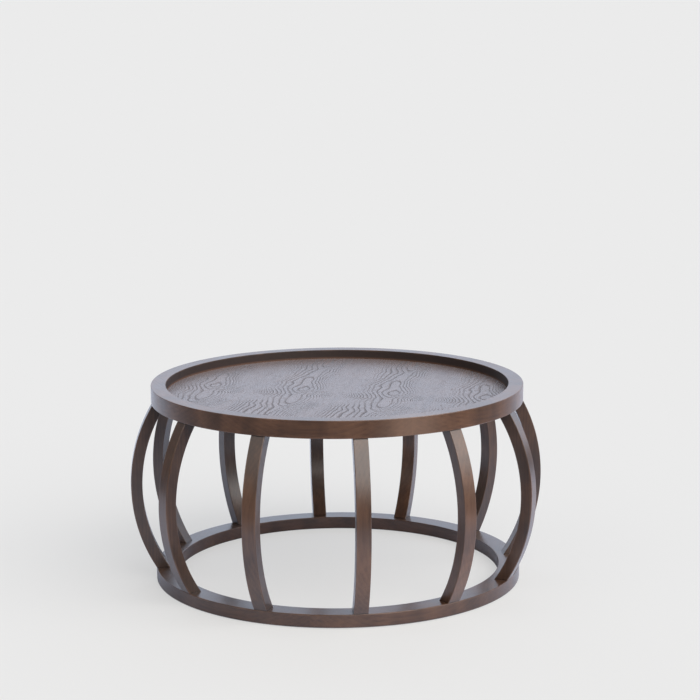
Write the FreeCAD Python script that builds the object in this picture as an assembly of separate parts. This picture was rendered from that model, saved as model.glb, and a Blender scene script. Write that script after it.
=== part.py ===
import FreeCAD, Part
import math
import os

# A drum-shaped coffee table. A round tray top and a base ring are held apart by a cage of bowed slats.
# The origin is on the floor under the middle of the table, +Z is up, and one slat faces the front, -Y.
# Lengths are in millimetres and angles are in degrees.

# Overall form
table_height = 454.0
segment_count = 6               # curved segments glued up into each ring
slats_per_segment = 2

# Rim of the tray, rebated from below so that a lip is left over the edge of the board
rim_outer_radius = 425.0
rim_width = 34.0
rim_edge_ease = 1.5             # set-back of the eased edges on each face
lip_width = 8.0                 # how far the lip reaches in over the board
tray_depth = 22.0               # from the top of the rim down to the veneered floor of the tray

# Base ring, with its joints staggered from the rim's
base_outer_radius = 420.0
base_width = 48.0
base_height = 29.0
base_edge_ease = 1.5

# Slats, sawn to an arc from solid wood, with a stub tenon left on each end
slat_bow = 52.5                 # how far the belly stands out beyond the mean radius of the two rings
slat_thickness = 26.0           # along the table's radius
slat_width = 32.0               # around the table
slat_edge_ease = 1.5
slat_head_setback = 3.5         # from the rim's outer face in to the slat's outer face
slat_foot_setback = 0.5         # from the base ring's outer face in to the slat's outer face
stub_length = 14.0
stub_thickness = 13.0           # along the table's radius
stub_width = 20.0               # around the table
foot_stub_outset = 3.0          # outwards from the middle of the slat's cut foot

# Tray floor: a board in the rim's rebate, with veneer on both faces.
# The face veneer is trimmed back to the lip, which seats on the bare edge of the board.
board_thickness = 15.0
veneer_thickness = 0.6
board_play = 0.2                # gap between the board's edge and the rebate
veneer_play = 0.2               # gap between the face veneer's edge and the lip
board_recess = 0.8              # from the backing veneer's underside down to the rim's
leaf_width_share = 0.54         # of the tray's inner radius; the leaves are cut from one flitch
leaf_seam_share = 0.037         # of the same, from the middle of the table to the nearest seam
leaf_grain_angle = 69.0         # direction of the seams, from +X

# Loose tenons across the joints between the segments of a ring
loose_length = 50.0
loose_thickness = 8.0
rim_loose_width = 22.0          # upright in the rim
base_loose_width = 26.0         # flat in the base ring

# Room for glue in every mortise
glue_gap = 0.05                 # on each side of a tenon
glue_pocket = 1.0               # beyond the end of a tenon

# Square felt pads stuck under the middle of each base segment
pad_width = 22.0
pad_height = 2.0                # the base ring stands this far off the floor

# Levels, radii and angles that follow from the sizes above
base_bottom = pad_height
base_top = base_bottom + base_height
base_middle = base_bottom + base_height / 2
base_inner_radius = base_outer_radius - base_width
base_middle_radius = base_outer_radius - base_width / 2
tray_floor = table_height - tray_depth
board_top = tray_floor - veneer_thickness
board_bottom = board_top - board_thickness
backing_bottom = board_bottom - veneer_thickness
rim_bottom = backing_bottom - board_recess
rim_middle = (rim_bottom + table_height) / 2
rim_inner_radius = rim_outer_radius - rim_width
rebate_radius = rim_inner_radius + lip_width
wall_middle_radius = (rebate_radius + rim_outer_radius) / 2
board_radius = rebate_radius - board_play
veneer_radius = rim_inner_radius - veneer_play
slat_count = segment_count * slats_per_segment
slat_pitch = 360 / slat_count
segment_sweep = 360 / segment_count
front_angle = -90
rim_joint_angle = front_angle + slat_pitch / 2
base_joint_angle = rim_joint_angle + slat_pitch

origin = FreeCAD.Vector(0, 0, 0)
up = FreeCAD.Vector(0, 0, 1)
sideways = FreeCAD.Vector(0, 1, 0)


# A point in the upright plane through +X, at a distance from the table's axis and a height
def at(radius, height):
    return FreeCAD.Vector(radius, 0, height)


# A copy of a shape, turned about the table's axis
def turned(shape, angle):
    copy = shape.copy()
    copy.rotate(origin, up, angle)
    return copy


# Copies of a shape at even angles about the table's axis
def around(shape, first_angle, count, pitch):
    return [turned(shape, first_angle + pitch * place) for place in range(count)]


# A round plate about the table's axis
def disc(radius, bottom, height):
    return Part.makeCylinder(radius, height, at(0, bottom), up)


# A block on +X, centred at a radius and a height: depth along the radius, width around the table
def block(radius, height, depth, width, tall):
    corner = FreeCAD.Vector(radius - depth / 2, -width / 2, height - tall / 2)
    return Part.makeBox(depth, width, tall, corner)


def section(corners):
    return Part.Face(Part.makePolygon(corners + corners[:1]))


# The rim's section has its upper and its outer edges eased, and the rebate at its lower inner corner
def rim_section():
    ease = rim_edge_ease
    return section([
        at(rebate_radius, rim_bottom), at(rim_outer_radius - ease, rim_bottom),
        at(rim_outer_radius, rim_bottom + ease), at(rim_outer_radius, table_height - ease),
        at(rim_outer_radius - ease, table_height), at(rim_inner_radius + ease, table_height),
        at(rim_inner_radius, table_height - ease), at(rim_inner_radius, board_top),
        at(rebate_radius, board_top),
    ])


# The base ring's section has its upper edges eased
def base_section():
    ease = base_edge_ease
    return section([
        at(base_inner_radius, base_bottom), at(base_outer_radius, base_bottom),
        at(base_outer_radius, base_top - ease), at(base_outer_radius - ease, base_top),
        at(base_inner_radius + ease, base_top), at(base_inner_radius, base_top - ease),
    ])


# The loose tenon of a rim joint stands upright between the rebate and the rim's outer face
def rim_loose_tenon(gap=0, pocket=0):
    return block(wall_middle_radius, rim_middle, loose_thickness + 2 * gap,
                 loose_length + 2 * pocket, rim_loose_width + 2 * gap)


# The loose tenon of a base joint lies flat in the middle of the ring's section
def base_loose_tenon(gap=0, pocket=0):
    return block(base_middle_radius, base_middle, base_loose_width + 2 * gap,
                 loose_length + 2 * pocket, loose_thickness + 2 * gap)


# The slat's outer face is the arc through its foot, its belly and its head.
# Its inner face has the same centre, one slat thickness further in.
class SlatArc:
    def __init__(self):
        self.foot = at(base_outer_radius - slat_foot_setback, base_top)
        self.head = at(rim_outer_radius - slat_head_setback, rim_bottom)
        mean_radius = (base_outer_radius + rim_outer_radius) / 2
        self.belly = at(mean_radius + slat_bow, (base_top + rim_bottom) / 2)
        circle = Part.Arc(self.foot, self.belly, self.head).toShape().Curve
        self.centre = circle.Center
        self.inner_radius = circle.Radius - slat_thickness
        self.foot_inner = self.inner_at(base_top)
        self.head_inner = self.inner_at(rim_bottom)
        self.belly_inner = at(self.centre.x + self.inner_radius, self.centre.z)

    def inner_at(self, height):
        rise = height - self.centre.z
        return at(self.centre.x + math.sqrt(self.inner_radius ** 2 - rise ** 2), height)


slat_arc = SlatArc()


# A stub tenon, or its mortise, on the slat that lies on +X. It reaches as far into the slat
# as into the ring, so that it grows out of solid wood.
def stub(radius, height, gap, pocket):
    return block(radius, height, stub_thickness + 2 * gap,
                 stub_width + 2 * gap, 2 * (stub_length + pocket))


# At the head it stands in the wall that the rebate leaves
def head_stub(gap=0, pocket=0):
    return stub(wall_middle_radius, rim_bottom, gap, pocket)


def foot_stub(gap=0, pocket=0):
    foot_middle = (slat_arc.foot.x + slat_arc.foot_inner.x) / 2
    return stub(foot_middle + foot_stub_outset, base_top, gap, pocket)


# One slat, on +X: two arcs joined by level cuts, as wide as the slat, with its outer long edges eased
def make_slat():
    edges = [
        Part.Arc(slat_arc.foot, slat_arc.belly, slat_arc.head),
        Part.LineSegment(slat_arc.head, slat_arc.head_inner),
        Part.Arc(slat_arc.head_inner, slat_arc.belly_inner, slat_arc.foot_inner),
        Part.LineSegment(slat_arc.foot_inner, slat_arc.foot),
    ]
    slat = Part.Face(Part.Wire([edge.toShape() for edge in edges])).extrude(sideways * slat_width)
    slat.translate(sideways * (-slat_width / 2))
    arcs = [edge for edge in slat.Edges if isinstance(edge.Curve, Part.Circle)]
    outer_edges = [edge for edge in arcs if edge.Curve.Radius > slat_arc.inner_radius + slat_thickness / 2]
    slat = slat.makeChamfer(slat_edge_ease, outer_edges)
    return slat.fuse([head_stub(), foot_stub()]).removeSplitter()


# A ring segment swept between two joints, with half a loose tenon's mortise in each end
# and a mortise for each of its slats
def ring_segment(face, first_joint, loose_mortise, stub_mortise):
    segment = turned(face, first_joint).revolve(origin, up, segment_sweep)
    mortises = around(loose_mortise, first_joint, 2, segment_sweep)
    mortises += around(stub_mortise, first_joint + slat_pitch / 2, slats_per_segment, slat_pitch)
    return segment.cut(mortises)


def make_rim_segments():
    first = ring_segment(rim_section(), rim_joint_angle, rim_loose_tenon(glue_gap, glue_pocket),
                         head_stub(glue_gap, glue_pocket))
    return around(first, 0, segment_count, segment_sweep)


def make_base_segments():
    first = ring_segment(base_section(), base_joint_angle, base_loose_tenon(glue_gap, glue_pocket),
                         foot_stub(glue_gap, glue_pocket))
    return around(first, 0, segment_count, segment_sweep)


def make_board():
    return disc(board_radius, board_bottom, board_thickness)


# The face veneer is a round sheet of parallel leaves, all seams running along the grain
def make_face_leaves():
    sheet = disc(veneer_radius, board_top, veneer_thickness)
    leaf_width = rim_inner_radius * leaf_width_share
    first_seam = rim_inner_radius * leaf_seam_share
    first = math.floor((-veneer_radius - first_seam) / leaf_width)
    last = math.ceil((veneer_radius - first_seam) / leaf_width)
    leaves = []
    for place in range(first, last):
        corner = FreeCAD.Vector(first_seam + leaf_width * place, -veneer_radius, board_top)
        strip = Part.makeBox(leaf_width, 2 * veneer_radius, veneer_thickness, corner)
        leaves += sheet.common(turned(strip, leaf_grain_angle - 90)).Solids
    return leaves


def make_backing():
    return disc(board_radius, backing_bottom, veneer_thickness)


def make_pad():
    return block(base_middle_radius, pad_height / 2, pad_width, pad_width, pad_height)


def export(name, solids):
    shape = solids[0] if len(solids) == 1 else Part.makeCompound(solids)
    shape.exportStep("parts/" + name + ".step")
    volume = sum(solid.Volume for solid in solids)
    print(name, len(solids), "solids", round(volume / 1000, 2), "cm3", shape.isValid())


def export_numbered(name, solids, digits=1):
    for number, solid in enumerate(solids, 1):
        export(name + "_" + str(number).zfill(digits), [solid])


def main():
    os.makedirs("parts", exist_ok=True)
    export_numbered("slat", around(make_slat(), front_angle, slat_count, slat_pitch), 2)
    export_numbered("rim_segment", make_rim_segments())
    export_numbered("base_segment", make_base_segments())
    export("tray_board", [make_board()])
    export_numbered("face_veneer_leaf", make_face_leaves())
    export("backing_veneer", [make_backing()])
    export("rim_loose_tenons", around(rim_loose_tenon(), rim_joint_angle, segment_count, segment_sweep))
    export("base_loose_tenons", around(base_loose_tenon(), base_joint_angle, segment_count, segment_sweep))
    pad_angle = base_joint_angle + segment_sweep / 2
    export("floor_pads", around(make_pad(), pad_angle, segment_count, segment_sweep))


main()
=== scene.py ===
import math
import bpy
import numpy as np
from mathutils import Matrix, Vector


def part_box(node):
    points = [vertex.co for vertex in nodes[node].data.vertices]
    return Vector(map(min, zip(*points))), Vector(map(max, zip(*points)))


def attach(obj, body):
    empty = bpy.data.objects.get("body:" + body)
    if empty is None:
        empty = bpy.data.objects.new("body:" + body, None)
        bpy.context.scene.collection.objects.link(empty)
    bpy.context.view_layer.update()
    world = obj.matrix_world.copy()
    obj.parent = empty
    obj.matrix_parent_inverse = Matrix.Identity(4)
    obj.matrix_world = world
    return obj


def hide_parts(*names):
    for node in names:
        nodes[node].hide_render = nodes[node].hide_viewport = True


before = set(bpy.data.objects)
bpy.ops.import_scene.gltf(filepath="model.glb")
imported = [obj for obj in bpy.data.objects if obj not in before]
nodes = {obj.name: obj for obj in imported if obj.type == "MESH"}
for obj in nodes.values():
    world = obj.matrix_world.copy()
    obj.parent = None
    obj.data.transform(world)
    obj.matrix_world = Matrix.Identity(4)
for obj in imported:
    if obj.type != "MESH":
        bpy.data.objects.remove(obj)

# A drum-shaped coffee table in dark stained wood: a tray top and a base ring held apart by bowed slats.
# Lengths are in metres and angles in degrees, unless a note says otherwise.
scene = bpy.context.scene
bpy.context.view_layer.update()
print("frame loaded,", len(nodes), "nodes")


# Places measured on the frame
def meshPoints(node):
    flat = np.zeros(len(nodes[node].data.vertices) * 3)
    nodes[node].data.vertices.foreach_get("co", flat)
    return flat.reshape(-1, 3)


def radii(node):
    points = meshPoints(node)
    reach = np.hypot(points[:, 0], points[:, 1])
    return reach.min(), reach.max()


def levels(node):
    low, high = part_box(node)
    return low.z, high.z


rimInner, rimOuter = radii("rim_segment_1")
baseInner, baseOuter = radii("base_segment_1")
rimBottom, rimTop = levels("rim_segment_1")
baseBottom, baseTop = levels("base_segment_1")
boardRadius = radii("tray_board")[1]
boardTop = levels("tray_board")[1]


# Mesh tools

# A closed outline in two dimensions whose right-angled corners are rounded.
# A corner C between the directions a (coming) and b (going) with radius r becomes
# C - a r + b r + r (a sin w - b cos w), with w from 0 to 90 degrees.
# On both sides of it, points on the straight run keep the flats flat. Each point also gets its
# distance from the nearest rounded corner, for the wear along the edges.
def roundedOutline(corners, cornerRadii, steps=4, keepers=(0.0004, 0.0025)):
    corners = np.array(corners, float)
    points, distances = [], []
    for number, (corner, radius) in enumerate(zip(corners, cornerRadii)):
        coming = corner - corners[number - 1]
        going = corners[(number + 1) % len(corners)] - corner
        coming, going = coming / np.linalg.norm(coming), going / np.linalg.norm(going)
        angle = np.linspace(0, math.pi / 2, steps + 1 if radius else 1)[:, None]
        middle = corner - coming * radius + going * radius
        arc = middle + radius * (coming * np.sin(angle) - going * np.cos(angle))
        before = [arc[0] - coming * keeper for keeper in reversed(keepers)]
        after = [arc[-1] + going * keeper for keeper in keepers]
        points += [*before, *arc, *after]
        near = 0.0 if radius else keepers[-1]
        distances += [*reversed(keepers), *[near] * len(arc), *keepers]
    return np.array(points), np.array(distances)


# Faces between the neighbours of a grid whose columns close on themselves, with a fan over each end.
# The middles of the two ends are the two points that follow the grid's own.
def tubeFaces(rows, columns):
    row, column = np.meshgrid(np.arange(rows - 1), np.arange(columns), indexing="ij")
    beside = (column + 1) % columns
    quads = np.stack([row * columns + column, row * columns + beside,
                      (row + 1) * columns + beside, (row + 1) * columns + column], axis=-1).reshape(-1, 4)
    ring = np.arange(columns)
    middle = np.full(columns, rows * columns)
    firstCap = np.stack([np.roll(ring, -1), ring, middle], axis=-1)
    lastRing = (rows - 1) * columns + ring
    lastCap = np.stack([lastRing, np.roll(lastRing, -1), middle + 1], axis=-1)
    return quads, np.concatenate([firstCap, lastCap])


def makePiece(name, points, quads, triangles, smoothAngle=40):
    mesh = bpy.data.meshes.new(name)
    faces = quads.tolist() + triangles.tolist()
    mesh.from_pydata(points.tolist(), [], faces)
    mesh.update()
    mesh.polygons.foreach_set("use_smooth", np.ones(len(faces), bool))
    mesh.set_sharp_from_angle(angle=math.radians(smoothAngle))
    piece = bpy.data.objects.new(name, mesh)
    scene.collection.objects.link(piece)
    return piece


# What the wood's material needs of each point: the grain's place, how far the edges are, and how light its
# tone is drawn:
# the stain that each piece took, and on the slats' sides a darker share
def markWood(piece, grainPlace, edgeDistance, stain):
    place = piece.data.attributes.new("grainPlace", "FLOAT_VECTOR", "POINT")
    place.data.foreach_set("vector", grainPlace.astype(np.float32).ravel())
    distance = piece.data.attributes.new("edgeDistance", "FLOAT", "POINT")
    distance.data.foreach_set("value", edgeDistance.astype(np.float32))
    lightness = piece.data.attributes.new("toneLightness", "FLOAT", "POINT")
    lightness.data.foreach_set("value", np.full(len(grainPlace), stain, np.float32))


def turnedAbout(points, degrees):
    c, s = math.cos(math.radians(degrees)), math.sin(math.radians(degrees))
    return points @ np.array([[c, s, 0], [-s, c, 0], [0, 0, 1]])


# Each piece was cut from its own stretch of timber: the grain's place is moved by a seeded draw
timberLook = {
    "seed": 12,
    "reach": 3,                    # how far the draw moves it, each way
}
timber = np.random.default_rng(timberLook["seed"])


def ownTimber(place):
    return place + timber.uniform(-timberLook["reach"], timberLook["reach"], 3)


# Slats
slatLook = {
    "count": 12,
    "edgeRadius": 0.0015,          # the long edges are sanded round
    "stepsAlong": 72,
    "firstAngle": -90,
    # how light each slat took the stain, from the front one on, counter-clockwise
    "stain": [1.14, 1.32, 0.98, 1.0, 1.05, 1.50, 0.86, 0.86, 0.90, 0.95, 0.94, 0.88],
    "sideLightness": 0.72,             # a slat's sides are drawn darker: their lightness as a share of the bowed faces'
}


# The circle through three points of the upright plane
def circleThrough(a, b, c):
    rows = np.array([b - a, c - a])
    centre = np.linalg.solve(2 * rows, (rows * (rows + 2 * a)).sum(axis=1))
    return centre, np.linalg.norm(a - centre)


# The slat on +X gives the arc that all slats share
def slatArc():
    points = meshPoints("slat_04")
    tiny = 1e-5
    foot = points[abs(points[:, 2] - baseTop) < tiny]
    head = points[abs(points[:, 2] - rimBottom) < tiny]
    belly = points[:, 0].max()
    middle = (baseTop + rimBottom) / 2  # the belly's height
    outer = [np.array([foot[:, 0].max(), baseTop]), np.array([belly, middle]),
             np.array([head[:, 0].max(), rimBottom])]
    centre, outerRadius = circleThrough(*outer)
    footInner = np.array([foot[:, 0].min(), baseTop])
    thickness = outerRadius - np.linalg.norm(footInner - centre)
    width = foot[:, 1].max() - foot[:, 1].min()
    return centre, outerRadius, thickness, width


# A rounded profile carried along the arc. A profile point at depth d from the outer face runs at the radius
# R - d about the arc's centre (xc, zc): r = xc + (R - d) cos t, z = zc + (R - d) sin t, with t going from the
# level cut at the foot to the level cut at the head, sin t = (level - zc) / (R - d).
def makeSlat(number, arc):
    centre, outerRadius, thickness, width = arc
    half = width / 2
    edge = slatLook["edgeRadius"]
    corners = [(0, -half), (0, half), (thickness, half), (thickness, -half)]
    outline, distance = roundedOutline(corners, [edge] * len(corners))
    radius = outerRadius - outline[:, 0]
    start = np.arcsin((baseTop - centre[1]) / radius)
    end = np.arcsin((rimBottom - centre[1]) / radius)
    share = np.linspace(0, 1, slatLook["stepsAlong"])[:, None]
    angle = start + (end - start) * share
    grid = np.stack([centre[0] + radius * np.cos(angle), np.broadcast_to(outline[:, 1], angle.shape),
                     centre[1] + radius * np.sin(angle)], axis=-1)
    rows, columns = angle.shape
    points = np.concatenate([grid.reshape(-1, 3), grid[0].mean(axis=0)[None], grid[-1].mean(axis=0)[None]])
    edgeDistance = np.concatenate([np.tile(distance, rows), [edge] * 2])
    side = np.clip((abs(outline[:, 1]) - half) / edge + 1, 0, 1)  # 1 on the sides, 0 on the bowed faces
    shade = 1 + (slatLook["sideLightness"] - 1) * side
    # how light the stain each slat took, drawn darker on its sides
    stain = slatLook["stain"][number - 1] * np.concatenate([np.tile(shade, rows), [1, 1]])
    turn = slatLook["firstAngle"] + 360 / slatLook["count"] * (number - 1)
    piece = makePiece(f"slat{number:02d}", turnedAbout(points, turn), *tubeFaces(rows, columns))
    markWood(piece, ownTimber(points), edgeDistance, stain)
    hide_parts(f"slat_{number:02d}")
    return piece


# Rings
ringLook = {
    "rimEdge": 0.0014,             # radius of the rim's upper edges
    "baseEdge": 0.0014,            # and of the base ring's
    "lowerEdge": 0.0010,
    "boardGap": 0.0002,            # between the tray's board and the rim
    "stepsAlong": 61,
    # how light each segment took the stain
    "rimStain": [1.22, 1.0, 1.0, 1.0, 1.22, 1.06],
    "baseStain": [1.0, 1.0, 1.0, 1.0, 0.86, 1.06],
}


# The joints at a segment's two ends, from the frame, as the bearings of its outermost corners
def jointAngles(node):
    points = meshPoints(node)
    bearing = np.degrees(np.arctan2(points[:, 1], points[:, 0]))
    reach = np.hypot(points[:, 0], points[:, 1])
    tiny = 1e-4
    bearing = bearing[reach > reach.max() - tiny]
    ahead = math.degrees(math.atan2(*(points.mean(axis=0)[[1, 0]])))
    offset = (bearing - ahead + 180) % 360 - 180
    return ahead, offset.min(), offset.max()


# A rounded section in radius and height swept about the upright axis from one joint to the next:
# (r cos a, r sin a, z). The grain runs straight along the segment, as it does in a sawn segment.
def makeRingSegment(name, node, corners, cornerRadii, capCentre, stain):
    outline, distance = roundedOutline(corners, cornerRadii)
    ahead, first, last = jointAngles(node)
    angle = np.radians(np.linspace(first, last, ringLook["stepsAlong"]))[:, None]
    radius = np.broadcast_to(outline[:, 0], (len(angle), len(outline)))
    grid = np.stack([radius * np.cos(angle), radius * np.sin(angle),
                     np.broadcast_to(outline[:, 1], radius.shape)], axis=-1)
    ends = np.array([[capCentre[0] * math.cos(a), capCentre[0] * math.sin(a), capCentre[1]]
                     for a in (angle[0, 0], angle[-1, 0])])
    points = np.concatenate([grid.reshape(-1, 3), ends])
    edgeDistance = np.concatenate([np.tile(distance, len(angle)), [max(cornerRadii)] * 2])
    alongTangent = points[:, [0, 2, 1]]
    piece = makePiece(name, turnedAbout(points, ahead), *tubeFaces(*radius.shape))
    markWood(piece, ownTimber(alongTangent), edgeDistance, stain)
    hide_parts(node)
    return piece


def makeRings():
    rimEdge, baseEdge, lowerEdge = ringLook["rimEdge"], ringLook["baseEdge"], ringLook["lowerEdge"]
    rebate = boardRadius + ringLook["boardGap"]
    rimCorners = [(rimOuter, rimBottom), (rimOuter, rimTop), (rimInner, rimTop),
                  (rimInner, boardTop), (rebate, boardTop), (rebate, rimBottom)]
    rimRadii = [lowerEdge, rimEdge, rimEdge, 0, 0, 0]
    rimMiddle = ((rebate + rimOuter) / 2, (boardTop + rimTop) / 2)
    baseCorners = [(baseOuter, baseBottom), (baseOuter, baseTop),
                   (baseInner, baseTop), (baseInner, baseBottom)]
    baseRadii = [lowerEdge, baseEdge, baseEdge, lowerEdge]
    baseMiddle = ((baseInner + baseOuter) / 2, (baseBottom + baseTop) / 2)
    pieces = []
    for number, stains in enumerate(zip(ringLook["rimStain"], ringLook["baseStain"]), 1):
        pieces.append(makeRingSegment(f"rimSegment{number}", f"rim_segment_{number}",
                                      rimCorners, rimRadii, rimMiddle, stains[0]))
        pieces.append(makeRingSegment(f"baseSegment{number}", f"base_segment_{number}",
                                      baseCorners, baseRadii, baseMiddle, stains[1]))
    return pieces


arc = slatArc()
slats = [makeSlat(number, arc) for number in range(1, slatLook["count"] + 1)]
rings = makeRings()
print("slats and rings made,", len(slats + rings), "pieces")


# Node tools for a material or a world

class Shader:
    def __init__(self, owner):
        owner.use_nodes = True
        self.owner = owner
        self.tree = owner.node_tree
        self.tree.nodes.clear()

    def node(self, kind, **settings):
        made = self.tree.nodes.new("ShaderNode" + kind)
        for key, value in settings.items():
            setattr(made, key, value)
        return made

    # A value is a number or a colour, or another node's output
    def feed(self, socket, value):
        if isinstance(value, bpy.types.NodeSocket):
            self.tree.links.new(value, socket)
        else:
            socket.default_value = value

    # The values go to the node's sockets in their order, and its outputs come back
    def fed(self, made, *values):
        for socket, value in zip(made.inputs, values):
            self.feed(socket, value)
        return made.outputs

    def place(self):
        return self.node("TexCoord").outputs["Object"]

    def attribute(self, name, output):
        return self.node("Attribute", attribute_name=name).outputs[output]

    def math(self, operation, *values):
        return self.fed(self.node("Math", operation=operation), *values)[0]

    def plus(self, first, second):
        return self.math("ADD", first, second)

    def minus(self, first, second):
        return self.math("SUBTRACT", first, second)

    def times(self, first, second):
        return self.math("MULTIPLY", first, second)

    # Pairs of a value and its share, multiplied and added up
    def weighted(self, first, *others):
        total = self.times(*first)
        for pair in others:
            total = self.plus(total, self.times(*pair))
        return total

    def vector(self, operation, *values):
        return self.fed(self.node("VectorMath", operation=operation), *values)["Vector"]

    # The same where the result is a number, such as a length
    def measure(self, operation, *values):
        return self.fed(self.node("VectorMath", operation=operation), *values)["Value"]

    def parts(self, vector):
        return self.fed(self.node("SeparateXYZ"), vector)

    def combine(self, x, y, z):
        return self.fed(self.node("CombineXYZ"), x, y, z)[0]

    # A smooth curve through given points. The node works between 0 and 1, so both its place and its
    # value are scaled to that and back.
    def curve(self, value, points):
        places, heights = np.array(points).T
        share = (places - places[0]) / (places[-1] - places[0])
        level = (heights - heights.min()) / np.ptp(heights)
        made = self.node("FloatCurve")
        line = made.mapping.curves[0]
        line.points[0].location = (share[0], level[0])
        line.points[1].location = (share[-1], level[-1])
        for x, y in zip(share[1:-1], level[1:-1]):
            line.points.new(x, y)
        made.mapping.update()
        self.feed(made.inputs["Value"], self.span(value, places[0], places[-1]))
        return self.span(made.outputs[0], 0, 1, heights.min(), heights.max())

    def noise(self, place, scale, detail=2.0, roughness=0.5, distortion=0.0):
        made = self.node("TexNoise")
        self.feed(made.inputs["Vector"], self.vector("MULTIPLY", place, scale))
        made.inputs["Scale"].default_value = 1.0
        made.inputs["Detail"].default_value = detail
        made.inputs["Roughness"].default_value = roughness
        made.inputs["Distortion"].default_value = distortion
        return made.outputs["Fac"]

    # Noises around zero, added up. Each is given as its scale and its reach.
    def wander(self, place, noises):
        return self.weighted(*[(self.minus(self.noise(place, scale, detail=0), 0.5), reach)
                               for scale, reach in noises])

    # The value goes from toLow to toHigh while it is between low and high, and no further
    def span(self, value, low, high, toLow=0.0, toHigh=1.0, smooth=False):
        made = self.node("MapRange", clamp=True, interpolation_type="SMOOTHSTEP" if smooth else "LINEAR")
        return self.fed(made, value, low, high, toLow, toHigh)[0]

    # Of the node's many sockets, 6 and 7 are the two colours, and output 2 is the mixed one
    def mix(self, share, first, second):
        made = self.node("Mix", data_type="RGBA")
        self.feed(made.inputs[0], share)
        self.feed(made.inputs[6], first)
        self.feed(made.inputs[7], second)
        return made.outputs[2]

    def bump(self, height, distance, strength):
        made = self.node("Bump")
        self.feed(made.inputs["Height"], height)
        made.inputs["Distance"].default_value = distance
        made.inputs["Strength"].default_value = strength
        return made.outputs["Normal"]

    def finish(self, colour, roughness, normal, **sockets):
        surface = self.node("BsdfPrincipled")
        self.feed(surface.inputs["Base Color"], colour)
        self.feed(surface.inputs["Roughness"], roughness)
        self.feed(surface.inputs["Normal"], normal)
        for key, value in sockets.items():
            self.feed(surface.inputs[key.replace("_", " ")], value)
        self.feed(self.node("OutputMaterial").inputs[0], surface.outputs[0])
        return self.owner


# Most of a noise lies between these, so a roughness that follows one has its two ends here
noiseMiddle = (0.3, 0.7)

# Solid wood: brown stain under a satin lacquer. The grain runs along the third part of grainPlace.
# A scale says how often a noise changes in a metre, in each of the three directions. A span gives the two
# values of a noise between which its effect comes in.
woodLook = {
    "stainDark": (0.065, 0.029, 0.0150, 1),
    "stainLight": (0.138, 0.066, 0.0350, 1),
    "scale": {"sway": (9, 9, 2.2), "fibres": (520, 520, 9), "streaks": (150, 150, 3.5), "clouds": (14, 14, 9),
              "pores": (1500, 1500, 55), "smoke": (18, 18, 9), "rubbed": (60, 60, 14)},
    "toneShare": {"fibres": 0.25, "streaks": 0.30, "late": 0.08, "clouds": 0.60},
    "toneSpan": (0.46, 0.74),
    "swayReach": (0.02, 0.012),    # how far the grain sways, in its two cross directions
    "ringSlope": (0.8, 0.6),       # the cross direction in which the growth rings follow each other
    "ringSpacing": 0.006,
    "pore": (0.026, 0.012, 0.007, 1),
    "poreShare": 0.55,
    "poreSpan": (0.60, 0.70),
    "poreRun": (0.75, 0.1, 0.25, 1.0),  # late and early place in a growth ring, and the pores' share there
    "smoke": (0.030, 0.016, 0.010, 1),  # darker clouds of stain
    "smokeShare": 0.45,
    "smokeSpan": (0.46, 0.66),
    "smokeShift": (1.7, 0.6, 2.9),  # keeps them apart from the other clouds
    "worn": (0.230, 0.125, 0.078, 1),
    "wear": (0.04, 0.35),          # how much of the stain is rubbed off along the edges, least and most
    "wearSpan": (0.42, 0.68),
    "wearReach": 0.0022,
    "paintedShade": (0.026, 0.015, 0.013, 1),  # dark colour of the painted shade on the tray's inner wall and on the base ring, and of the painted shadow along the base ring's lower edge
    "innerWallShade": 0.94,             # painted shade on the tray's inner wall: how much of that colour it gets
    "wallOutside": (0.0012, 0.0003),  # measured from the wall: where that has ended, and where it is full
    "wallInside": (-0.0005, -0.0001),  # the same inwards
    "wallBelow": 0.001,            # how far it fades below the board's top
    "wallFoot": (0.006, 0.001),    # heights at the wall's foot between which a painted reflection of the tray floor's light makes it paler again
    "wallFootReflection": (0.135, 0.068, 0.042, 1),
    "wallLacquer": 0.06,           # the lacquer stays thin and dull on the wall
    "wallRoughness": 0.35,         # how much rougher the wall is
    "baseRingShade": 0.26,              # painted shade over the whole base ring, low under the tray: how much of that colour it gets
    "baseFade": 0.01,              # none from this far above it
    "lowerEdgeShadow": 0.9,              # and a painted shadow in a narrow line along its lower edge, by the floor: how much
    "lineHeights": (0.005, 0.001),  # where the line has ended, and where it is full
    "joints": [(0.006, 0.85), (0.050, 0.2975)],  # at the slats' ends, where they meet the rings: a narrow dark joint line with painted contact shade, and a wider painted shade; reach and share of each
    "palePatch": (0.115, -0.409, 0.435),  # middle of a paler patch on the rim's front
    "paleReach": 0.110,
    "paleTone": (0.300, 0.195, 0.140, 1),
    "paleShare": 0.42,
    "roughness": (0.30, 0.37),
    "cloudSpan": (0.35, 0.65),
    "cloudRoughness": (-0.02, 0.03),  # what the clouds add to it
    "slatLacquer": (0.75, 1.5),    # share of a clear coat over the stained wood, and refractive index
    "ringLacquer": (0.5, 1.5),
    "lacquerRoughness": 0.20,
    "fibreHeight": 0.35,           # as shares of the relief
    "poreDepth": 0.8,
    "relief": (0.00012, 0.6),      # its height, and how strongly it shades
}
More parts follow.
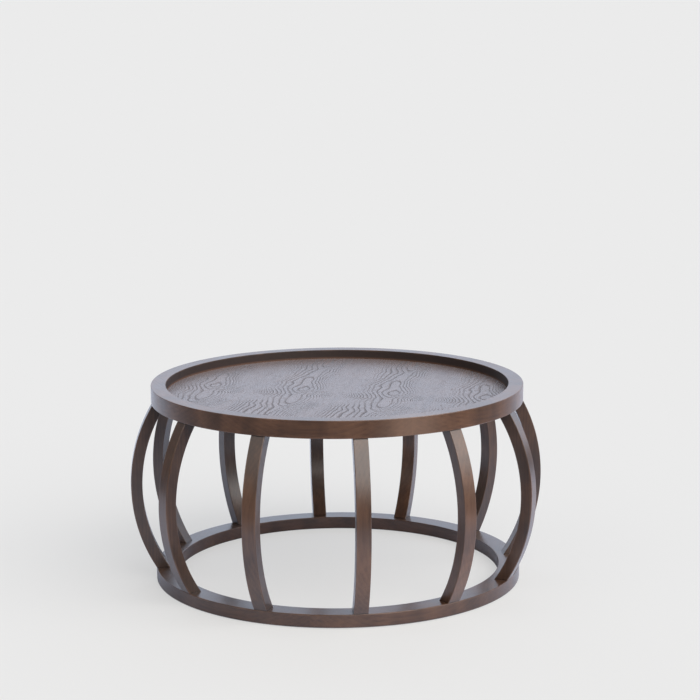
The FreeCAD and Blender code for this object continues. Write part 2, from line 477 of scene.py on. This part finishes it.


# Painted shade on the rings: on the tray's inner wall, above the board, over the whole base ring, and a
# painted shadow along the base ring's lower edge; a painted reflection makes the wall's foot paler. The rim's
# front has a paler patch. The second result is 1 on the wall, whose lacquer is dull.
def ringShadeAndTone(s, colour):
    place = s.place()
    x, y, z = s.parts(place)
    reach = s.measure("LENGTH", s.combine(x, y, 0.0))
    # painted shade on the tray's inner wall, in its recess above the board
    inside = s.span(reach, *[rimInner + beyond for beyond in woodLook["wallOutside"]])
    lip = s.span(reach, *[rimInner + beyond for beyond in woodLook["wallInside"]])
    wall = s.times(s.times(inside, lip), s.span(z, boardTop - woodLook["wallBelow"], boardTop))
    # painted shade over the whole base ring
    low = s.span(z, baseTop + woodLook["baseFade"], baseTop, 0.0, woodLook["baseRingShade"])
    # and a painted shadow along the base ring's lower edge
    lineEnds = [baseBottom + above for above in woodLook["lineHeights"]]
    onBase = s.math("MAXIMUM", low, s.span(z, *lineEnds, 0.0, woodLook["lowerEdgeShadow"]))
    paintedShade = s.math("MAXIMUM", s.times(wall, woodLook["innerWallShade"]), onBase)
    away = s.measure("DISTANCE", place, woodLook["palePatch"])
    pale = s.span(away, woodLook["paleReach"], 0.0, 0.0, woodLook["paleShare"], smooth=True)
    colour = s.mix(paintedShade, s.mix(pale, colour, woodLook["paleTone"]), woodLook["paintedShade"])
    # painted reflection: the tray floor's light drawn as a paler brown on the wall's foot
    foot = s.span(z, *[boardTop + above for above in woodLook["wallFoot"]])
    return s.mix(s.times(wall, foot), colour, woodLook["wallFootReflection"]), wall


# On the slats, at the foot and at the head, where they meet the rings: a narrow dark joint line with painted
# contact shade, and a wider painted shade, drawn in the pores' colour
def slatJointShade(s, colour):
    z = s.parts(s.place())[2]
    height = s.math("MINIMUM", s.minus(z, baseTop), s.minus(rimBottom, z))
    shades = [s.span(height, reach, 0.0, 0.0, share, smooth=True) for reach, share in woodLook["joints"]]
    return s.mix(s.math("MAXIMUM", *shades), colour, woodLook["pore"]), None


def makeWood(name, toned, lacquer, bend):
    s = Shader(bpy.data.materials.new(name))
    scale, share = woodLook["scale"], woodLook["toneShare"]
    grain = s.attribute("grainPlace", "Vector")
    place = s.place()              # the stain's clouds run on over the glued joints
    sway = s.noise(grain, scale["sway"], detail=1)
    bent = s.vector("ADD", grain, s.combine(*[s.times(sway, reach) for reach in woodLook["swayReach"]], 0.0))
    across = s.weighted(*zip(s.parts(bent), woodLook["ringSlope"]))
    late = s.math("FRACT", s.math("DIVIDE", across, woodLook["ringSpacing"]))
    fibres = s.noise(bent, scale["fibres"], detail=3, roughness=0.6)
    streaks = s.noise(bent, scale["streaks"])
    clouds = s.noise(place, scale["clouds"], detail=3, roughness=0.6)
    pores = s.span(s.noise(bent, scale["pores"], detail=1), *woodLook["poreSpan"])
    pores = s.times(pores, s.span(late, *woodLook["poreRun"]))
    tone = s.weighted((fibres, share["fibres"]), (streaks, share["streaks"]),
                      (late, share["late"]), (clouds, share["clouds"]))
    colour = s.mix(s.span(tone, *woodLook["toneSpan"]), woodLook["stainDark"], woodLook["stainLight"])
    smoke = s.noise(s.vector("ADD", place, woodLook["smokeShift"]), scale["smoke"])
    smoke = s.times(s.span(smoke, *woodLook["smokeSpan"]), woodLook["smokeShare"])
    colour = s.mix(smoke, colour, woodLook["smoke"])
    # each piece's stain lightness, drawn darker on the slats' sides
    colour = s.vector("MULTIPLY", colour, s.attribute("toneLightness", "Color"))
    colour = s.mix(s.times(pores, woodLook["poreShare"]), colour, woodLook["pore"])
    # the painted shade at the slats' ends, or on the rings the painted shade, shadow and reflection, go over
    # the colour here
    colour, dull = toned(s, colour)
    rubbed = s.span(s.noise(grain, scale["rubbed"], detail=3), *woodLook["wearSpan"], *woodLook["wear"])
    wear = s.times(s.span(s.attribute("edgeDistance", "Fac"), woodLook["wearReach"], 0.0), rubbed)
    colour = s.mix(wear, colour, woodLook["worn"])
    rough = s.plus(s.span(fibres, *noiseMiddle, *woodLook["roughness"]),
                   s.span(clouds, *woodLook["cloudSpan"], *woodLook["cloudRoughness"]))
    if dull is not None:
        lacquer = s.span(dull, 0.0, 1.0, lacquer, woodLook["wallLacquer"])
        rough = s.plus(rough, s.times(dull, woodLook["wallRoughness"]))
    height = s.minus(s.times(fibres, woodLook["fibreHeight"]), s.times(pores, woodLook["poreDepth"]))
    return s.finish(colour, rough, s.bump(height, *woodLook["relief"]), IOR=bend,
                    Coat_Weight=lacquer, Coat_Roughness=woodLook["lacquerRoughness"])


def dress(piece, material):
    piece.data.materials.clear()
    piece.data.materials.append(material)
    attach(piece, "root")


slatWood = makeWood("stainedSlats", slatJointShade, *woodLook["slatLacquer"])
ringWood = makeWood("stainedRings", ringShadeAndTone, *woodLook["ringLacquer"])
for piece in slats:
    dress(piece, slatWood)
for piece in rings:
    dress(piece, ringWood)
print("solid wood finished")


# Veneer of the tray floor: four leaves of one flitch laid side by side, so the same figure comes back in
# each. The figure is flat-sawn: open growth rings that run beside the heart line and close around an eye.
# The lists follow the heart line: a distance from the eye along the grain, then the value there.
veneerLook = {
    "grainAngle": 69,              # direction of the leaves' seams, from +X
    "leafWidth": 0.21114,
    "seam": 0.01447,               # how far one of the seams lies from the tray's centre
    "eye": (0.120, -0.012),        # from a leaf's left seam, and along the grain from the tray's centre
    "ringNumber": [(-0.390, 7.4), (-0.230, 7.0), (-0.205, 6.8), (-0.185, 6.3), (-0.165, 5.5), (-0.145, 4.95),
                   (-0.125, 4.65), (-0.080, 4.6), (-0.060, 4.5), (-0.045, 4.1), (-0.028, 3.5), (-0.012, 2.9),
                   (0.004, 2.6), (0.020, 2.9), (0.040, 3.3), (0.065, 3.6), (0.110, 3.7), (0.140, 4.05),
                   (0.170, 4.5), (0.235, 4.6), (0.275, 4.1), (0.310, 3.5), (0.390, 2.6)],
    "heartPlace": [(-0.390, -0.014), (-0.237, -0.009), (-0.200, -0.003), (-0.164, 0.003), (-0.130, 0.009),
                   (-0.090, 0.008), (-0.040, 0.006), (0.0, 0.002), (0.060, -0.008), (0.133, -0.019),
                   (0.200, -0.017), (0.274, -0.020), (0.390, -0.010)],
    "heartBreadth": [(-0.390, 0.008), (-0.200, 0.008), (-0.160, 0.011), (-0.125, 0.020), (-0.095, 0.025),
                     (-0.060, 0.018), (-0.030, 0.011), (0.0, 0.012), (0.060, 0.024), (0.125, 0.014),
                     (0.200, 0.024), (0.260, 0.013), (0.390, 0.018)],
    "ringWidth": [(-0.390, 0.016), (-0.200, 0.016), (-0.120, 0.013), (0.0, 0.012), (0.390, 0.012)],
    "boldness": [(-0.390, 0.90), (-0.190, 1.0), (-0.150, 1.0), (-0.110, 0.60), (-0.075, 0.70), (-0.050, 1.0),
                 (-0.020, 1.0), (0.020, 0.85), (0.090, 0.90), (0.390, 1.0)],
    "narrowSide": 1.55,            # how much closer the rings lie on the eye's right
    "closing": 0.170,              # the rings lie closer together from about this far out
    # distance from the heart line where the open rings start to fade
    "boldReach": [(-0.390, 0.080), (-0.145, 0.085), (-0.120, 0.042), (-0.075, 0.050), (-0.050, 0.085),
                  (-0.020, 0.080), (0.015, 0.042), (0.110, 0.042), (0.390, 0.060)],
    "fading": 0.038,               # and how much further out they are at their faintest
    "faintest": 0.14,
    # noises that move the rings' lines to the side, and that change their numbers: scale and reach. A scale
    # is across the grain, along it and from leaf to leaf, and only the clouds lie over all leaves alike.
    "sway": [((13, 9, 1), 0.018), ((33, 19, 1), 0.008)],
    "uneven": [((25, 10, 1), 0.7), ((70, 18, 1), 0.28)],
    "leafStep": 0.11,              # how far the noises move on from one leaf to the next
    "scale": {"breaks": (200, 10, 1), "fibres": (420, 26, 1), "pores": (900, 45, 1), "streaks": (70, 5, 1),
              "clouds": (9, 9, 9)},
    "grooveStart": 0.07,           # shares of a growth ring: where its groove is deepest
    "grooveEnd": 0.38,             # and where it has faded out
    "breaks": (0.35, 0.60, 0.78, 1.0),  # two values of the noise that breaks the grooves, and the depth there
    "dark": (0.080, 0.044, 0.029, 1),
    "light": (0.168, 0.100, 0.072, 1),
    "toneShare": {"fibres": 0.35, "streaks": 0.40, "clouds": 0.35},
    "toneSpan": (0.38, 0.72),
    "groove": (0.012, 0.007, 0.005, 1),
    "grooveShare": 0.95,
    "poreShare": 0.30,
    "poreSpan": (0.56, 0.70),
    "roughness": 0.27,
    "grooveRoughness": 0.95,
    "poreRoughness": 0.45,         # a pore's share of the way from the first to the second
    "fibreHeight": 0.10,
    "poreDepth": 0.10,             # as a share of a groove's
    "relief": (0.0013, 1.0),       # the depth of a groove, and how strongly it shades
    "lacquerBend": 1.8,            # refractive index
    "bloom": 0.31,                 # a faint cool bloom where the lacquer is seen at a low angle
    "bloomTint": (0.82, 0.86, 1.0, 1),
    "bloomRoughness": 0.45,
}


# A growth ring's number at the distance q from the heart line is (sqrt(q q + b b) - b) / w (1 + (q / c)^2)
# plus the number on the heart line there, where b is the heart's breadth, w the ring width and c the closing
# distance. Each whole number starts a groove, the open early wood, that is deepest near its start and then
# fades out.
def makeVeneer():
    s = Shader(bpy.data.materials.new("trayVeneer"))
    look, scale, share = veneerLook, veneerLook["scale"], veneerLook["toneShare"]
    place = s.place()
    angle = math.radians(look["grainAngle"])
    across = s.measure("DOT_PRODUCT", place, (math.sin(angle), -math.cos(angle), 0))
    along = s.measure("DOT_PRODUCT", place, (math.cos(angle), math.sin(angle), 0))
    along = s.minus(along, look["eye"][1])
    fromSeam = s.minus(across, look["seam"])
    leaf = s.math("FLOOR", s.math("DIVIDE", fromSeam, look["leafWidth"]))
    u = s.minus(s.math("FLOORED_MODULO", fromSeam, look["leafWidth"]), look["eye"][0])
    sheet = s.combine(u, along, s.times(leaf, look["leafStep"]))
    u = s.plus(u, s.wander(sheet, look["sway"]))
    q = s.minus(u, s.curve(along, look["heartPlace"]))
    right = s.math("GREATER_THAN", q, 0.0)
    q = s.times(s.math("ABSOLUTE", q), s.span(right, 0, 1, 1, look["narrowSide"]))
    breadth = s.curve(along, look["heartBreadth"])
    reach = s.math("SQRT", s.plus(s.times(q, q), s.times(breadth, breadth)))
    ring = s.math("DIVIDE", s.minus(reach, breadth), s.curve(along, look["ringWidth"]))
    far = s.plus(s.math("POWER", s.math("DIVIDE", q, look["closing"]), 2.0), 1.0)
    ring = s.plus(s.times(ring, far), s.curve(along, look["ringNumber"]))
    part = s.math("FRACT", s.plus(ring, s.wander(sheet, look["uneven"])))
    groove = s.times(s.span(part, 0.0, look["grooveEnd"], 1.0, 0.0), s.span(part, 0.0, look["grooveStart"]))
    beyond = s.minus(q, s.curve(along, look["boldReach"]))
    groove = s.times(groove, s.span(beyond, 0.0, look["fading"], 1.0, look["faintest"]))
    groove = s.times(groove, s.curve(along, look["boldness"]))
    groove = s.times(groove, s.span(s.noise(sheet, scale["breaks"], detail=1), *look["breaks"]))
    fibres = s.noise(sheet, scale["fibres"])
    pores = s.span(s.noise(sheet, scale["pores"], detail=1), *look["poreSpan"])
    streaks = s.noise(sheet, scale["streaks"], detail=3)
    clouds = s.noise(place, scale["clouds"])
    tone = s.weighted((fibres, share["fibres"]), (streaks, share["streaks"]), (clouds, share["clouds"]))
    colour = s.mix(s.span(tone, *look["toneSpan"]), look["dark"], look["light"])
    dark = s.math("MAXIMUM", s.times(groove, look["grooveShare"]), s.times(pores, look["poreShare"]))
    colour = s.mix(dark, colour, look["groove"])
    rough = s.math("MAXIMUM", groove, s.times(pores, look["poreRoughness"]))
    rough = s.span(rough, 0.0, 1.0, look["roughness"], look["grooveRoughness"])
    height = s.minus(s.minus(s.times(fibres, look["fibreHeight"]), groove), s.times(pores, look["poreDepth"]))
    return s.finish(colour, rough, s.bump(height, *look["relief"]), IOR=look["lacquerBend"],
                    Sheen_Weight=look["bloom"], Sheen_Tint=look["bloomTint"],
                    Sheen_Roughness=look["bloomRoughness"])


def redress(node, material):
    piece = nodes[node]
    piece.data.materials.clear()
    piece.data.materials.append(material)


trayVeneer = makeVeneer()
leafCount = sum(node.startswith("face_veneer_leaf_") for node in nodes)
for number in range(1, leafCount + 1):
    redress(f"face_veneer_leaf_{number}", trayVeneer)
print("tray veneer finished")


# Backing veneer under the tray: stained, with straight grain along Y
backingLook = {
    "dark": (0.085, 0.045, 0.030, 1),
    "light": (0.160, 0.095, 0.066, 1),
    "toneSpan": (0.36, 0.64),
    "streaks": ((60, 4, 60), 0.6),  # scale of the noise, and its share of the tone
    "fibres": ((480, 26, 480), 0.4),
    "pores": (900, 40, 900),
    "pore": (0.035, 0.019, 0.013, 1),
    "poreShare": 0.6,
    "poreSpan": (0.58, 0.70),
    "roughness": (0.60, 0.70),
    "fibreHeight": 0.4,            # as a share of a pore's depth
    "relief": (0.00015, 0.6),
    "bend": 1.45,                  # refractive index, as in the next three
}


def makeBacking():
    s = Shader(bpy.data.materials.new("backingVeneer"))
    look, place = backingLook, s.place()
    streaks = s.noise(place, look["streaks"][0], detail=3)
    fibres = s.noise(place, look["fibres"][0])
    tone = s.weighted((streaks, look["streaks"][1]), (fibres, look["fibres"][1]))
    colour = s.mix(s.span(tone, *look["toneSpan"]), look["dark"], look["light"])
    pores = s.span(s.noise(place, look["pores"], detail=1), *look["poreSpan"])
    colour = s.mix(s.times(pores, look["poreShare"]), colour, look["pore"])
    rough = s.span(fibres, *noiseMiddle, *look["roughness"])
    height = s.minus(s.times(fibres, look["fibreHeight"]), pores)
    return s.finish(colour, rough, s.bump(height, *look["relief"]), IOR=look["bend"])


# The raw fibre board between the veneers
boardLook = {
    "dark": (0.330, 0.235, 0.140, 1),
    "light": (0.480, 0.370, 0.240, 1),
    "toneSpan": (0.38, 0.62),
    "fluff": ((900, 900, 900), 0.6),
    "blots": ((40, 40, 200), 0.4),
    "roughness": (0.80, 0.92),
    "relief": (0.0002, 0.6),
    "bend": 1.4,
}


def makeBoard():
    s = Shader(bpy.data.materials.new("fibreBoard"))
    look, place = boardLook, s.place()
    fluff = s.noise(place, look["fluff"][0], detail=4, roughness=0.7)
    blots = s.noise(place, look["blots"][0], detail=3)
    tone = s.weighted((fluff, look["fluff"][1]), (blots, look["blots"][1]))
    colour = s.mix(s.span(tone, *look["toneSpan"]), look["dark"], look["light"])
    rough = s.span(fluff, *noiseMiddle, *look["roughness"])
    return s.finish(colour, rough, s.bump(fluff, *look["relief"]), IOR=look["bend"])


# The loose tenons: raw beech with short dark flecks
beechLook = {
    "dark": (0.560, 0.400, 0.250, 1),
    "light": (0.720, 0.560, 0.390, 1),
    "streaks": (160, 160, 900),
    "flecks": (700, 700, 2200),
    "fleck": (0.400, 0.250, 0.140, 1),
    "fleckShare": 0.6,
    "fleckSpan": (0.60, 0.70),
    "roughness": (0.55, 0.68),
    "relief": (0.0001, 0.5),
    "bend": 1.45,
}


def makeBeech():
    s = Shader(bpy.data.materials.new("rawBeech"))
    look, place = beechLook, s.place()
    streaks = s.noise(place, look["streaks"], detail=3)
    flecks = s.span(s.noise(place, look["flecks"], detail=1), *look["fleckSpan"])
    colour = s.mix(streaks, look["dark"], look["light"])
    colour = s.mix(s.times(flecks, look["fleckShare"]), colour, look["fleck"])
    rough = s.span(streaks, *noiseMiddle, *look["roughness"])
    return s.finish(colour, rough, s.bump(streaks, *look["relief"]), IOR=look["bend"])


redress("backing_veneer", makeBacking())
redress("tray_board", makeBoard())
beech = makeBeech()
redress("rim_loose_tenons", beech)
redress("base_loose_tenons", beech)


# Felt pads under the base ring
padLook = {
    "count": 6,
    "squareness": 7.0,             # the higher, the sharper the pad's corners
    "edge": 0.0005,                # how far the rims of the pad are pressed round
    "halfPressed": 0.3,            # a point on the way, as a share of that, inwards and upwards
    "flats": [0.25, 0.6],          # rows of points on the flat faces, as shares of the outline
    "stepsAround": 96,
    "smoothAngle": 60,
    "dark": (0.055, 0.040, 0.031, 1),
    "light": (0.125, 0.094, 0.074, 1),
    "toneSpan": (0.36, 0.64),
    "hairs": ((1600, 1600, 1600), 0.7),
    "patches": ((160, 160, 160), 0.3),
    "roughness": (0.90, 0.98),
    "relief": (0.0003, 0.8),
    "bend": 1.4,
    "sheen": 0.35,
    "sheenRoughness": 0.5,
}


# A pad's outline is |x / a|^n + |y / a|^n = 1, drawn as a sgn(cos t) |cos t|^(2/n) and the same with sin t.
# Its section runs from the middle of the underside over the pressed rim to the middle of the top.
def makePads():
    points = meshPoints("floor_pads")
    bearing = np.degrees(np.arctan2(points[:, 1], points[:, 0]))
    count = padLook["count"]
    step = 360 / count
    start = np.median((bearing + 360) % step)
    first = points[abs((bearing - start + 180) % 360 - 180) < step / 2]
    flat = turnedAbout(first, -start)
    low, high = flat.min(axis=0), flat.max(axis=0)
    middle, half = (low + high) / 2, (high - low) / 2
    t = np.linspace(0, 2 * math.pi, padLook["stepsAround"], endpoint=False)
    power = 2 / padLook["squareness"]
    outline = np.stack([np.sign(np.cos(t)) * abs(np.cos(t)) ** power,
                        np.sign(np.sin(t)) * abs(np.sin(t)) ** power], axis=-1) * half[:2]
    edge, way, top = padLook["edge"], padLook["halfPressed"], half[2] * 2
    inwards = edge / half[0]
    lower = [(share, 0) for share in padLook["flats"]]
    lower += [(1 - inwards, 0), (1 - inwards * way, edge * way), (1, edge)]
    section = np.array(lower + [(share, top - height) for share, height in reversed(lower)])
    wall = np.concatenate([section[:, :1, None] * outline[None],
                           np.broadcast_to(section[:, 1:, None], (len(section), len(t), 1))], axis=-1)
    one = np.concatenate([wall.reshape(-1, 3), [(0, 0, 0), (0, 0, top)]])
    one = one + np.array([middle[0], middle[1], low[2]])
    quads, caps = tubeFaces(len(section), len(t))
    everyPoint = np.concatenate([turnedAbout(one, start + step * number) for number in range(count)])
    shift = (np.arange(count) * len(one))[:, None, None]
    return makePiece("feltPads", everyPoint, (quads + shift).reshape(-1, 4), (caps + shift).reshape(-1, 3),
                     smoothAngle=padLook["smoothAngle"])


def makeFelt():
    s = Shader(bpy.data.materials.new("pressedFelt"))
    look, place = padLook, s.place()
    hairs = s.noise(place, look["hairs"][0], detail=4, roughness=0.7, distortion=1.5)
    patches = s.noise(place, look["patches"][0])
    tone = s.weighted((hairs, look["hairs"][1]), (patches, look["patches"][1]))
    colour = s.mix(s.span(tone, *look["toneSpan"]), look["dark"], look["light"])
    rough = s.span(hairs, *noiseMiddle, *look["roughness"])
    return s.finish(colour, rough, s.bump(hairs, *look["relief"]), IOR=look["bend"],
                    Sheen_Weight=look["sheen"], Sheen_Roughness=look["sheenRoughness"])


pads = makePads()
dress(pads, makeFelt())
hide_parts("floor_pads")
print("inside pieces and pads finished")


# Stage: a wide pale floor
stageLook = {
    "floorRadius": 160.0,
    "floorSides": 96,
    "floorColour": (0.831, 0.831, 0.831, 1),
    "floorMatt": (0.786, 0.778, 0.756, 1),  # makes up for the tint and the level of the light
    "floorGleam": (0.74, 0.80, 0.94, 1),  # what the table's own surfaces see of the floor
    "floorDark": (0.15, 0.15, 0.165, 1),  # the same where less light falls, at the sides and by the camera
    "brightPlace": (0.03, 3.15, 0.0),  # middle of the bright oval of floor
    "brightSize": (2.3, 4.4, 1.0),
    "brightReach": (1.17, 0.9),    # as shares of its size: dark beyond the first, bright within the second
    "plainShare": 0.62,            # how much of the floor's tone the camera sees without the shadows
}


def makeFloor():
    reach, count = stageLook["floorRadius"], stageLook["floorSides"]
    bearing = np.linspace(0, 2 * math.pi, count, endpoint=False)
    points = np.stack([reach * np.cos(bearing), reach * np.sin(bearing), np.zeros(count)], axis=-1)
    mesh = bpy.data.meshes.new("floor")
    mesh.from_pydata(points.tolist(), [], [list(range(count))])
    floor = bpy.data.objects.new("floor", mesh)
    scene.collection.objects.link(floor)
    s = Shader(bpy.data.materials.new("paleFloor"))
    ray = s.node("LightPath").outputs["Is Camera Ray"]
    offset = s.vector("SUBTRACT", s.place(), stageLook["brightPlace"])
    away = s.measure("LENGTH", s.vector("DIVIDE", offset, stageLook["brightSize"]))
    bright = s.span(away, *stageLook["brightReach"], smooth=True)
    gleam = s.mix(bright, stageLook["floorDark"], stageLook["floorGleam"])
    matt = s.fed(s.node("BsdfDiffuse"), s.mix(ray, gleam, stageLook["floorMatt"]))[0]
    plain = s.fed(s.node("Emission"), stageLook["floorColour"])[0]
    mixed = s.fed(s.node("MixShader"), s.times(ray, stageLook["plainShare"]), matt, plain)[0]
    s.feed(s.node("OutputMaterial").inputs[0], mixed)
    mesh.materials.append(s.owner)


# Light: a soft surround and soft boxes, each given as the direction it lies in, its spread and its strength
lightLook = {
    "surround": (0.15, (1.0, 1.0, 1.0)),  # strength and tint
    "boxes": [
        # bearing, elevation, inner and outer angle, strength, tint, and for a box that is cut off below, the
        # elevations between which it fades in
        (79, 8, 34, 66, 0.87, (0.85, 0.98, 1.22), None),
        (5, 15, 12, 50, 0.40, (0.92, 1.0, 1.14), None),
        (-152, 40, 8, 36, 0.8, (1.0, 1.0, 1.0), None),
        (-52, 35, 26, 47, 3.0, (1.02, 1.0, 0.98), (3, 19)),
    ],
}


def makeWorld():
    world = bpy.data.worlds.new("studio")
    scene.world = world
    s = Shader(world)
    direction = s.node("TexCoord").outputs["Generated"]

    # How far the direction of a ray turns from the edge to the middle of a box, times the strength
    def fade(toward, edge, middle, strength):
        facing = s.measure("DOT_PRODUCT", direction, toward)
        return s.span(facing, edge, middle, 0.0, strength, smooth=True)

    def background(tint, strength):
        return s.fed(s.node("Background"), (*tint, 1), strength)[0]

    strength, tint = lightLook["surround"]
    total = background(tint, strength)
    for bearing, elevation, inner, outer, strength, tint, lowerEdge in lightLook["boxes"]:
        b, e = math.radians(bearing), math.radians(elevation)
        toward = (math.cos(b) * math.cos(e), math.sin(b) * math.cos(e), math.sin(e))
        level = fade(toward, math.cos(math.radians(outer)), math.cos(math.radians(inner)), strength)
        if lowerEdge:
            edges = [math.sin(math.radians(edge)) for edge in lowerEdge]
            level = s.times(level, fade((0, 0, 1), *edges, 1.0))
        total = s.fed(s.node("AddShader"), total, background(tint, level))[0]
    ray = s.node("LightPath").outputs["Is Camera Ray"]
    plain = background(stageLook["floorColour"][:3], 1.0)
    mixed = s.fed(s.node("MixShader"), ray, total, plain)[0]
    s.feed(s.node("OutputWorld").inputs[0], mixed)


makeFloor()
makeWorld()


# Camera, at the photograph's angle
cameraLook = {
    "place": (-0.5213, -4.5058, 1.3628),
    "heading": 83.022,             # from +X
    "down": 10.457,
    "roll": -0.275,
    "lens": 103.88,                # mm, on a 36 mm square sensor
}


def makeCamera():
    data = bpy.data.cameras.new("camera")
    data.lens = cameraLook["lens"]
    data.sensor_width = 36
    camera = bpy.data.objects.new("camera", data)
    scene.collection.objects.link(camera)
    camera.matrix_world = (
        Matrix.Translation(Vector(cameraLook["place"]))
        @ Matrix.Rotation(math.radians(cameraLook["heading"] - 90), 4, "Z")
        @ Matrix.Rotation(math.radians(90 - cameraLook["down"]), 4, "X")
        @ Matrix.Rotation(math.radians(cameraLook["roll"]), 4, "Z"))
    scene.camera = camera


makeCamera()
scene.view_settings.view_transform = "Standard"
print("stage, light and camera set")
